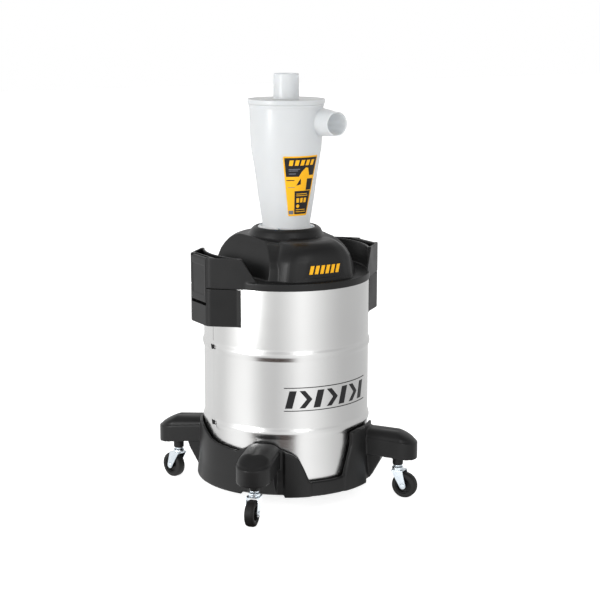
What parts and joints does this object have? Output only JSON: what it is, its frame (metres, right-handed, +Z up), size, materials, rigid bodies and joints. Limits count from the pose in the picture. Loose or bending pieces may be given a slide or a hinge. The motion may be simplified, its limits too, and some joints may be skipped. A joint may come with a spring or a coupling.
{
  "type": "dust collector",
  "caption": "Cyclone dust collector: a translucent cone on a black lid, clamped to a steel drum that rolls on a caster dolly.",
  "frame": {"origin": "on the floor, under the middle of the object, on the drum's axis", "axes": "+Z up along the drum's axis, -Y out of the front with the badge, +X to the right seen from the front"},
  "size_m": [0.415, 0.4189, 0.8655],
  "materials": {
    "stainless": "satin stainless steel, lightly brushed round the drum",
    "black_plastic": "moulded black plastic with a fine grain",
    "milky_plastic": "milky translucent moulded plastic",
    "rubber": "matt black seal rubber",
    "tyre": "smooth dark wheel rubber",
    "zinc": "bright zinc plate"
  },
  "bodies": {
    "tank": {"drum_shell": "stainless", "drum_bottom": "stainless", "dolly_base": "black_plastic", "tank_bracket_left": "black_plastic", "tank_bracket_right": "black_plastic", "bracket_rivet_left_1": "zinc", "bracket_rivet_left_2": "zinc", "bracket_rivet_right_1": "zinc", "bracket_rivet_right_2": "zinc", "caster_front_left_stem": "zinc", "caster_front_right_stem": "zinc", "caster_back_left_stem": "zinc", "caster_back_right_stem": "zinc"},
    "lid": {"lid_shell": "black_plastic", "lid_gasket": "rubber", "cyclone_body": "milky_plastic", "cyclone_cover": "milky_plastic", "vortex_finder": "milky_plastic", "cyclone_gasket": "rubber", "latch_pin_left": "zinc", "latch_pin_right": "zinc", "flange_screw_1": "zinc", "flange_screw_2": "zinc", "flange_screw_3": "zinc", "flange_screw_4": "zinc"},
    "latch_left": {"latch_left": "black_plastic"},
    "latch_right": {"latch_right": "black_plastic"},
    "fork_front_left": {"caster_front_left_fork": "zinc", "caster_front_left_axle": "zinc"},
    "wheel_front_left": {"caster_front_left_tyre": "tyre", "caster_front_left_hub": "black_plastic"},
    "fork_front_right": {"caster_front_right_fork": "zinc", "caster_front_right_axle": "zinc"},
    "wheel_front_right": {"caster_front_right_tyre": "tyre", "caster_front_right_hub": "black_plastic"},
    "fork_back_left": {"caster_back_left_fork": "zinc", "caster_back_left_axle": "zinc"},
    "wheel_back_left": {"caster_back_left_tyre": "tyre", "caster_back_left_hub": "black_plastic"},
    "fork_back_right": {"caster_back_right_fork": "zinc", "caster_back_right_axle": "zinc"},
    "wheel_back_right": {"caster_back_right_tyre": "tyre", "caster_back_right_hub": "black_plastic"}
  },
  "joints": [
    {"name": "lid_lift", "type": "slide", "parent": "tank", "child": "lid", "axis": [0, 0, 1], "range_m": [0, 0.16]},
    {"name": "latch_left_swing", "type": "hinge", "parent": "lid", "child": "latch_left", "pos_m": [-0.1965, 0, 0.506], "axis": [0, 1, 0], "range_deg": [0, 70]},
    {"name": "latch_right_swing", "type": "hinge", "parent": "lid", "child": "latch_right", "pos_m": [0.1965, 0, 0.506], "axis": [0, -1, 0], "range_deg": [0, 70]},
    {"name": "swivel_front_left", "type": "hinge", "parent": "tank", "child": "fork_front_left", "pos_m": [-0.169, -0.169, 0.06], "axis": [0, 0, 1], "continuous": true},
    {"name": "spin_front_left", "type": "hinge", "parent": "fork_front_left", "child": "wheel_front_left", "pos_m": [-0.1807, -0.17991, 0.0265], "axis": [0.682, -0.7314, 0], "continuous": true},
    {"name": "swivel_front_right", "type": "hinge", "parent": "tank", "child": "fork_front_right", "pos_m": [0.169, -0.169, 0.06], "axis": [0, 0, 1], "continuous": true},
    {"name": "spin_front_right", "type": "hinge", "parent": "fork_front_right", "child": "wheel_front_right", "pos_m": [0.17771, -0.18242, 0.0265], "axis": [0.8387, 0.5446, 0], "continuous": true},
    {"name": "swivel_back_left", "type": "hinge", "parent": "tank", "child": "fork_back_left", "pos_m": [-0.169, 0.169, 0.06], "axis": [0, 0, 1], "continuous": true},
    {"name": "spin_back_left", "type": "hinge", "parent": "fork_back_left", "child": "wheel_back_left", "pos_m": [-0.17368, 0.1843, 0.0265], "axis": [-0.9563, -0.2924, 0], "continuous": true},
    {"name": "swivel_back_right", "type": "hinge", "parent": "tank", "child": "fork_back_right", "pos_m": [0.169, 0.169, 0.06], "axis": [0, 0, 1], "continuous": true},
    {"name": "spin_back_right", "type": "hinge", "parent": "fork_back_right", "child": "wheel_back_right", "pos_m": [0.17499, 0.18383, 0.0265], "axis": [-0.9272, 0.3746, 0], "continuous": true}
  ]
}
